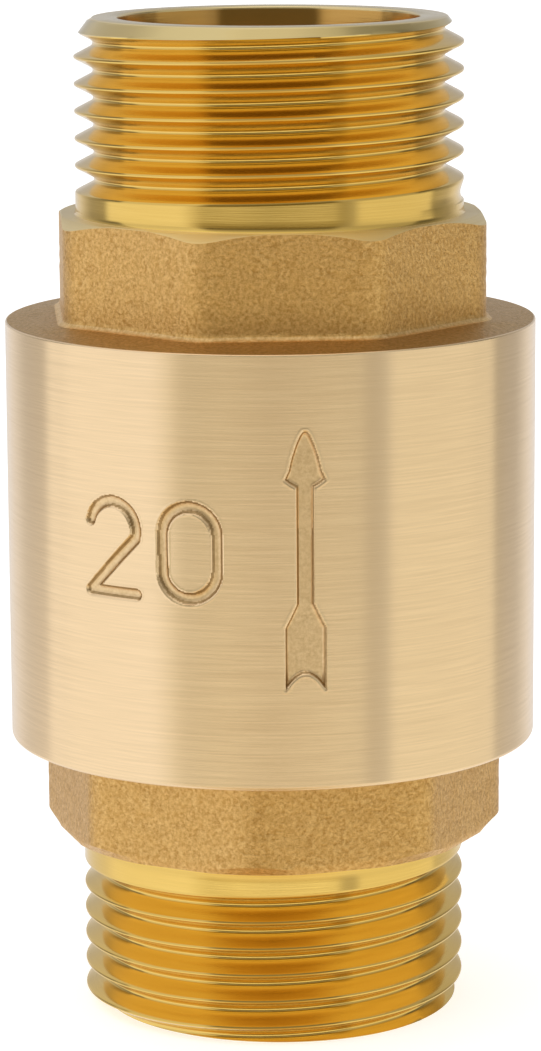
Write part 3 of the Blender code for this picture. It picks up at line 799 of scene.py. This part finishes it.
def turned(name, profile, surface, round_off=0.12 * MM, closed=True, segments=96):
    """Turned piece from a (radius, height) profile; an open profile ends on the axis."""
    bm = bmesh.new()
    points = [bm.verts.new((max(radius, 0.0), 0.0, height))
              for radius, height in rounded(profile, round_off, closed)]
    edges = [bm.edges.new(pair) for pair in zip(points, points[1:])]
    if closed:
        edges.append(bm.edges.new((points[-1], points[0])))
    bmesh.ops.spin(bm, geom=points + edges, cent=(0, 0, 0), axis=(0, 0, 1), dvec=(0, 0, 0),
                   angle=math.tau, steps=segments, use_merge=True)
    bmesh.ops.remove_doubles(bm, verts=bm.verts, dist=1e-7)
    return link_mesh(name, bm, surface)


def block(name, size, centre, angle, surface, bevel=0.25 * MM):
    """Box with rounded edges, turned about Z."""
    bm = bmesh.new()
    bmesh.ops.create_cube(bm, size=1.0)
    bmesh.ops.scale(bm, verts=bm.verts, vec=size)
    bmesh.ops.bevel(bm, geom=bm.edges[:], offset=bevel, segments=3, profile=0.5, affect="EDGES")
    bmesh.ops.translate(bm, verts=bm.verts, vec=centre)
    bmesh.ops.rotate(bm, verts=bm.verts, cent=(0, 0, 0), matrix=Matrix.Rotation(angle, 3, "Z"))
    return link_mesh(name, bm, surface)


def applied(obj):
    """New mesh of an object with its modifiers or curve settings applied."""
    bpy.context.view_layer.update()
    return bpy.data.meshes.new_from_object(obj.evaluated_get(bpy.context.evaluated_depsgraph_get()))


def apply_boolean(target, tool, operation, sharp=SHARP_ANGLE):
    """Join or cut with a tool, which is then removed."""
    modifier = target.modifiers.new(operation, "BOOLEAN")
    modifier.operation = operation
    modifier.object = tool
    modifier.solver = "EXACT"
    result = applied(target)
    target.modifiers.clear()
    target.data = result
    smooth(result, sharp)
    bpy.data.objects.remove(tool, do_unlink=True)


def make_guide(name, node, ring_outer, ring_inner, ring_span, hub_radius, hub_bore, hub_span):
    """Spider with a turned ring and hub and three rounded arms."""
    low, high = ring_span
    hub_low, hub_high = hub_span
    ring = turned(name, [(ring_outer, low), (ring_outer, high), (ring_inner, high), (ring_inner, low)], BORED_AND_SHADED)
    hub = turned(f"{name}_hub", [(hub_radius, hub_low), (hub_radius, hub_high),
                                 (hub_bore, hub_high), (hub_bore, hub_low)], BORED_AND_SHADED)
    arm_low, arm_high = low + 0.2 * MM, high - 0.4 * MM
    length = ring_inner - hub_radius + 0.8 * MM
    middle = (ring_inner + hub_radius) / 2
    for index in range(3):
        arm = block(f"{name}_arm", (length, 2.2 * MM, arm_high - arm_low),
                    (middle, 0, (arm_low + arm_high) / 2), math.radians(90 + 120 * index), BORED_AND_SHADED)
        apply_boolean(ring, arm, "UNION")
    apply_boolean(ring, hub, "UNION")
    place(ring, "valve", "machined_brass", node)


def place(piece, body, slot, node):
    """Ride on a body and take the place of a CAD node; the slot argument is not used."""
    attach(piece, body)
    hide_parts(node)


def span(node):
    """Lowest and highest point of a CAD node."""
    low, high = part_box(node)
    return low.z, high.z


def make_spring():
    """Return spring wound from round wire, its end turns closed."""
    low, high = span("return_spring")
    wire = 0.3 * MM
    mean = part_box("return_spring")[1].x - wire
    turns_total, steps, sides, flat_turn = 5.5, 48, 14, 0.75
    pitch = 2.0 * wire + 0.05 * MM
    start, end = low + wire, high - wire
    rise = flat_turn * pitch
    count = round(turns_total * steps)
    bm = bmesh.new()
    rings = []
    for index in range(count + 1):
        turns = index / steps
        left = turns_total - turns
        middle = start + rise + (turns - flat_turn) / (turns_total - 2 * flat_turn) * (end - start - 2 * rise)
        if turns < flat_turn:
            middle = start + pitch * turns
        elif left < flat_turn:
            middle = end - pitch * left
        angle = math.tau * turns
        ring = []
        for side in range(sides):
            round_angle = math.tau * side / sides
            radius = mean + wire * math.cos(round_angle)
            height = middle + wire * math.sin(round_angle)
            ring.append(bm.verts.new((radius * math.cos(angle), radius * math.sin(angle), height)))
        rings.append(ring)
    for ring, following in zip(rings, rings[1:]):
        for side in range(sides):
            after = (side + 1) % sides
            bm.faces.new((ring[side], ring[after], following[after], following[side]))
    bm.faces.new(rings[0])
    bm.faces.new(rings[-1])
    spring = link_mesh("return_spring_coil", bm, SPRING_STEEL)
    place(spring, "valve", "stainless_steel", "return_spring")
    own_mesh(spring)


def make_poppet():
    """Stem, disc, seal, retainer, lock washer and nut, which lift together."""
    low, high = span("poppet_stem")
    collar_low, collar_high, collar = 31.8 * MM, 33.1 * MM, 4.0 * MM
    stem, tail, tail_top = 2.5 * MM, 2.0 * MM, 20.1 * MM
    profile = [(0, low), (tail - 0.5 * MM, low), (tail, low + 0.5 * MM), (tail, tail_top),
               (stem - 0.35 * MM, tail_top + 0.1 * MM)]
    thread_top, pitch, height = 30.6 * MM, 0.8 * MM, tail_top + 0.3 * MM
    while height + pitch < thread_top:
        profile += [(stem - 0.35 * MM, height + 0.1 * MM), (stem, height + 0.4 * MM),
                    (stem - 0.35 * MM, height + 0.7 * MM)]
        height += pitch
    profile += [(stem, thread_top + 0.2 * MM), (stem, collar_low), (collar, collar_low),
                (collar, collar_high), (stem, collar_high), (stem, high - 0.5 * MM),
                (stem - 0.5 * MM, high), (0, high)]
    place(turned("poppet_stem_rod", profile, STEEL, 0.08 * MM, closed=False), "poppet",
          "stainless_steel", "poppet_stem")

    low, high = span("disc_plate")
    hole, rim, recess, recess_top = 2.8 * MM, 12.5 * MM, 11.95 * MM, 29.6 * MM
    seat, rim_top = 30.9 * MM, 30.2 * MM
    place(turned("disc_plate_turned", [
        (hole, recess_top), (hole, high), (5.2 * MM, high), (5.5 * MM, high - 0.3 * MM), (5.5 * MM, seat),
        (7.2 * MM, seat), (rim - 0.3 * MM, rim_top + 0.2 * MM), (rim, rim_top), (rim, low),
        (recess, low), (recess, recess_top)], RIM), "poppet", "machined_brass", "disc_plate")

    low, high = span("disc_seal")
    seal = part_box("disc_seal")[1].x
    place(turned("disc_seal_moulded", [(2.9 * MM, low), (seal, low), (seal, high), (2.9 * MM, high)],
                 RUBBER, 0.2 * MM), "poppet", "nitrile_rubber", "disc_seal")

    low, high = span("seal_retainer")
    place(turned("seal_retainer_washer", [(2.8 * MM, low), (6.25 * MM, low), (6.6 * MM, low + 0.35 * MM),
                                          (6.6 * MM, high), (2.8 * MM, high)], STEEL),
          "poppet", "stainless_steel", "seal_retainer")

    low, high = span("lock_washer")
    washer = turned("lock_washer_split", [(2.8 * MM, low), (4.4 * MM, low), (4.4 * MM, high),
                                          (2.8 * MM, high)], STEEL, 0.15 * MM)
    slit = block("lock_washer_slit", (3.0 * MM, 0.5 * MM, 3.0 * MM), (3.6 * MM, 0, (low + high) / 2),
                 math.radians(12), STEEL, 0.01 * MM)
    apply_boolean(washer, slit, "DIFFERENCE")
    place(washer, "poppet", "stainless_steel", "lock_washer")
    make_nut()


def make_nut():
    """Hexagon nut with turned corners and a countersunk bore."""
    low, high = span("stem_nut")
    flats = 8.0 * MM
    corner = flats / 2 / math.cos(math.radians(30))
    bm = bmesh.new()
    bmesh.ops.create_cone(bm, cap_ends=True, segments=6, radius1=corner, radius2=corner, depth=high - low)
    bmesh.ops.translate(bm, verts=bm.verts, vec=(0, 0, (low + high) / 2))
    nut = link_mesh("stem_nut_hexagon", bm, STEEL)
    crown, wide = flats / 2 - 0.1 * MM, flats / 2 + 1.0 * MM
    drop = (wide - crown) * math.tan(math.radians(30))
    envelope = turned("nut_envelope", [
        (0, low - 0.2 * MM), (crown - 0.35 * MM, low - 0.2 * MM), (crown, low), (wide, low + drop),
        (wide, high - drop), (crown, high), (crown - 0.35 * MM, high + 0.2 * MM), (0, high + 0.2 * MM)],
        STEEL, 0.001 * MM, closed=False)
    apply_boolean(nut, envelope, "INTERSECT")
    hole = turned("nut_hole", [(0, low - MM), (3.4 * MM, low - 0.1 * MM), (2.8 * MM, low + 0.4 * MM),
                               (2.8 * MM, high - 0.4 * MM), (3.4 * MM, high + 0.1 * MM), (0, high + MM)],
                  STEEL, 0.001 * MM, closed=False)
    apply_boolean(nut, hole, "DIFFERENCE", math.radians(20))
    place(nut, "poppet", "stainless_steel", "stem_nut")


def make_bush(node, bore, below, step, above):
    """Plastic bush that changes its outer radius at the height of a step, which makes its flange."""
    low, high = span(node)
    bush = turned(f"{node}_moulded", [(bore, low), (below, low), (below, step), (above, step),
                                      (above, high), (bore, high)], ACETAL, 0.15 * MM)
    place(bush, "valve", "white_acetal", node)


def make_fixed_insides():
    """Guides, bushes, circlip and joint ring."""
    low, high = span("outlet_guide")
    make_guide("outlet_guide_spider", "outlet_guide", 11.7 * MM, 10.3 * MM,
               (43.1 * MM, 45.9 * MM), 4.7 * MM, 3.95 * MM, (low, high))
    hub_low, hub_high = span("inlet_guide")
    make_guide("inlet_guide_spider", "inlet_guide", 9.8 * MM, 8.5 * MM,
               (hub_low, 17.0 * MM), 4.2 * MM, 3.25 * MM, (hub_low, hub_high))

    low, high = span("outlet_bush")
    make_bush("outlet_bush", 2.58 * MM, 4.4 * MM, low + 0.8 * MM, 3.65 * MM)
    low, high = span("inlet_bush")
    make_bush("inlet_bush", 2.08 * MM, 2.95 * MM, high - 0.6 * MM, 3.6 * MM)

    section = arc((13.7 * MM, 19.95 * MM), 0.62 * MM, 0, 342, 19)
    place(turned("joint_ring_round", section, RUBBER, 0.02 * MM), "valve", "nitrile_rubber", "joint_ring")
    make_circlip()


def make_circlip():
    """Internal retaining ring: a stamped outline with two holed lugs."""
    low, high = span("inlet_circlip")
    outer, inner, lug, hole = 10.7 * MM, 9.2 * MM, 7.4 * MM, 0.65 * MM
    lug_corner, hole_place, edge = lug + 0.25 * MM, lug + 0.95 * MM, 0.08 * MM
    gap, lug_width, turn = math.radians(10), math.radians(15), math.radians(-30)

    def at(radius, angle):
        return radius * math.cos(turn + angle), radius * math.sin(turn + angle)

    def sweep(radius, start, end, steps):
        return [at(radius, start + (end - start) * step / steps) for step in range(steps + 1)]

    def lug_end(start, end, ease=0.03):
        return [at(lug_corner, start), *sweep(lug, start - ease, end + ease, 6), at(lug_corner, end)]

    start, end, ease = gap, math.tau - gap, 0.04
    outline = sweep(outer, start, end, 120) + lug_end(end, end - lug_width)
    outline += sweep(inner, end - lug_width - ease, start + lug_width + ease, 100)
    outline += lug_end(start + lug_width, start)
    holes = [list(arc(at(hole_place, middle), hole, 0, 345, 23))
             for middle in (start + lug_width / 2, end - lug_width / 2)]
    curve = bpy.data.curves.new("circlip_outline", "CURVE")
    curve.dimensions = "2D"
    curve.fill_mode = "BOTH"
    curve.extrude = (high - low) / 2 - edge
    curve.bevel_depth = edge
    curve.offset = -edge
    for points in [outline, *holes]:
        spline = curve.splines.new("POLY")
        spline.points.add(len(points) - 1)
        for point, (x, y) in zip(spline.points, points):
            point.co = (x, y, 0.0, 1.0)
        spline.use_cyclic_u = True
    holder = linked("circlip_outline", curve)
    mesh = applied(holder)
    bpy.data.objects.remove(holder, do_unlink=True)
    mesh.transform(Matrix.Translation((0, 0, (low + high) / 2)))
    bm = bmesh.new()
    bm.from_mesh(mesh)
    bmesh.ops.remove_doubles(bm, verts=bm.verts, dist=1e-7)
    place(link_mesh("inlet_circlip_stamped", bm, STEEL), "valve", "stainless_steel", "inlet_circlip")


# --- Stage ---

CAMERA_TURN = math.radians(-6.9)
CAMERA_DISTANCE = 272.6 * MM
CAMERA_HEIGHT = 85.0 * MM
CAMERA_PITCH = 0.1889
CAMERA_ROLL = -0.0059
CAMERA_YAW = 0.000244
CAMERA_LENS = 139.3


def make_camera():
    """Camera in front of the valve, a little to the left of the arrow, looking slightly down."""
    data = bpy.data.cameras.new("camera")
    data.sensor_width = 36.0
    data.lens = CAMERA_LENS
    data.clip_start = 0.01
    data.clip_end = 50.0
    camera = linked("camera", data)
    camera.location = (CAMERA_DISTANCE * math.sin(CAMERA_TURN), -CAMERA_DISTANCE * math.cos(CAMERA_TURN),
                       CAMERA_HEIGHT)
    look = Matrix.Rotation(CAMERA_TURN, 4, "Z") @ Matrix.Rotation(math.pi / 2 - CAMERA_PITCH, 4, "X")
    look = look @ Matrix.Rotation(CAMERA_YAW, 4, "Y") @ Matrix.Rotation(CAMERA_ROLL, 4, "Z")
    camera.rotation_euler = look.to_euler()
    bpy.context.scene.camera = camera


def make_floor():
    """Plain pale floor."""
    bm = bmesh.new()
    bmesh.ops.create_circle(bm, cap_ends=True, segments=128, radius=4.0)
    mesh = bpy.data.meshes.new("floor")
    bm.to_mesh(mesh)
    bm.free()
    floor = linked("floor", mesh)
    floor.location.z = INLET_END - 0.02 * MM
    graph = Surface("pale_floor")
    surface = graph.finish(Base_Color=(0.9, 0.9, 0.9, 1), Roughness=0.9,
                           Emission_Color=(1, 1, 1, 1), Emission_Strength=0.62)
    mesh.materials.append(surface)
    floor.visible_glossy = False


TINTS = [(-180, (0.95, 0.96, 1.0)), (-118, (0.98, 0.96, 0.98)), (-111, (1.0, 0.99, 1.0)),
         (-52, (1.0, 0.99, 1.0)), (-41, (1.0, 0.97, 0.92)), (50, (1.0, 0.97, 0.92)),
         (57, (1.0, 0.97, 0.88)), (111, (1.0, 0.97, 0.89)), (125, (0.98, 0.96, 0.97))]


def warm(level):
    """Light of a level, as yellow as off a wooden table."""
    return level, level * 0.93, level * 0.68


def cool(level):
    """Light of a level, as blue as from a window."""
    return level, level * 1.05, level * 1.12


# Rows of light round the valve, each at its elevation, as (angle to the right of the camera, level
# or colour) stops in degrees; every row closes on its first stop, straight behind the valve
ROOM = [
    (-45, [(-180, 1.0), (-56, 1.0), (-30, (0.72, 0.58, 0.36)), (0, (0.60, 0.45, 0.24)),
           (30, (0.70, 0.56, 0.34)), (56, 1.0)]),
    (-28, [(-180, 1.0), (-56, 1.02), (-38, (1.08, 1.05, 1.0)), (0, (1.10, 1.04, 0.95)),
           (38, (1.08, 1.05, 1.0)), (56, 1.0)]),
    (-17.5, [(-180, 0.90), (-140, 0.80), (-118, 0.95), (-54, 1.04), (-39, warm(0.60)), (-20, warm(0.63)),
             (0, warm(0.55)), (28, warm(0.62)), (38, warm(0.61)), (44, 0.50), (50, 0.52), (54, 0.84),
             (111, 0.88), (118, 0.70), (150, 0.85)]),
    (-14, [(-180, 0.90), (-140, 0.90), (-124, 0.90), (-112, 1.14), (-56, 1.18), (-38, cool(1.36)),
           (-20, cool(1.58)), (0, cool(1.54)), (28, cool(1.58)), (38, cool(1.44)), (43, 0.74), (51, 0.72),
           (54, 1.16), (111, 1.06), (115, 0.70), (132, 0.72), (150, 0.88)]),
    (-10, [(-180, 0.90), (-145, 0.85), (-132, 0.66), (-116, 0.66), (-112, 1.04), (-56, 1.04),
           (-38, cool(0.83)), (-20, cool(0.87)), (0, cool(0.76)), (28, cool(0.87)), (38, cool(0.85)),
           (43, 0.48), (51, 0.50), (54, 0.92), (111, 0.88), (115, 0.56), (132, 0.58), (145, 0.85)]),
    (-5, [(-180, 0.85), (-150, 0.80), (-130, 0.34), (-114, 0.30), (-109, 1.02), (-54, 1.04),
          (-40, warm(0.54)), (-20, warm(0.58)), (0, warm(0.46)), (28, warm(0.56)), (38, warm(0.54)),
          (44, warm(0.43)), (50, 0.48), (55, 0.88), (109, 0.88), (114, 0.28), (130, 0.30), (150, 0.80)]),
    (-2.5, [(-180, 0.80), (-150, 0.80), (-130, 0.40), (-114, 0.40), (-108, 0.96), (-50, 0.96),
            (-40, (0.25, 0.21, 0.12)), (0, (0.20, 0.15, 0.07)), (38, (0.24, 0.20, 0.11)), (46, 0.34),
            (52, 0.68), (108, 0.70), (114, 0.36), (130, 0.40), (150, 0.80)]),
    (9, [(-180, 0.45), (-150, 0.70), (-130, 0.46), (-111, 0.16), (-100, 0.13), (-97, 0.76), (-44, 0.76),
         (-37, warm(0.14)), (37, warm(0.14)), (43, 0.50), (95, 0.48), (99, 0.10), (111, 0.12), (130, 0.38),
         (150, 0.60)]),
    (54, [(-180, 0.65), (-110, 0.95), (-40, 1.0), (-25, 0.85), (25, 0.80), (45, 0.66), (75, 0.60),
          (80, 0.40), (110, 0.40)]),
    (78, [(-180, 1.0)]),
]


def around(graph, share, stops):
    """Ramp of levels or colours all the way round the valve."""
    node = graph.tree.nodes.new("ShaderNodeValToRGB")
    graph.feed(node.inputs["Fac"], share)
    elements = node.color_ramp.elements
    for index, (angle, colour) in enumerate([*stops, (180, stops[0][1])]):
        at = (angle + 180) / 360
        stop = elements[index] if index < 2 else elements.new(at)
        stop.position = at
        stop.color = (*(colour if isinstance(colour, tuple) else [colour] * 3), 1.0)
    return node.outputs["Color"]


def make_room():
    """White room with bright and dark cards round the valve, some high and some low."""
    world = bpy.data.worlds.new("room")
    bpy.context.scene.world = world
    world.use_nodes = True
    world.node_tree.nodes.clear()
    graph = Graph(world.node_tree)
    direction = graph.put("ShaderNodeVectorRotate", settings={"rotation_type": "Z_AXIS"},
                          Vector=graph.put("ShaderNodeTexCoord", "Generated"), Angle=-CAMERA_TURN)
    right, back, up = (graph.put("ShaderNodeSeparateXYZ", axis, Vector=direction) for axis in "XYZ")
    azimuth = graph.maths("ARCTAN2", right, graph.maths("MULTIPLY", back, -1.0))
    share = graph.spread(azimuth, -math.pi, math.pi)
    elevation = graph.maths("ARCSINE", up)
    heights = [math.radians(height) for height, _ in ROOM]
    rows = [around(graph, share, stops) for _, stops in ROOM]
    level = rows[0]
    for below, height, row in zip(heights, heights[1:], rows[1:]):
        level = graph.mix(graph.spread(elevation, below, height), level, row)
    shade = graph.mix(1.0, level, around(graph, share, TINTS), "MULTIPLY")
    shown = graph.put("ShaderNodeBackground", Color=shade)
    backdrop = graph.put("ShaderNodeBackground", Color=(1, 1, 1, 1))
    seen = graph.put("ShaderNodeLightPath", "Is Camera Ray")
    chosen = graph.put("ShaderNodeMixShader", _0=seen, _1=shown, _2=backdrop)
    graph.put("ShaderNodeOutputWorld", Surface=chosen)


bpy.context.scene.view_settings.view_transform = "Standard"
make_camera()
make_floor()
make_room()
place(make_valve_body(), "valve", "machined_brass", "valve_body")
place(make_inlet_connector(), "valve", "cast_brass", "inlet_connector")
make_fixed_insides()
make_poppet()
make_spring()
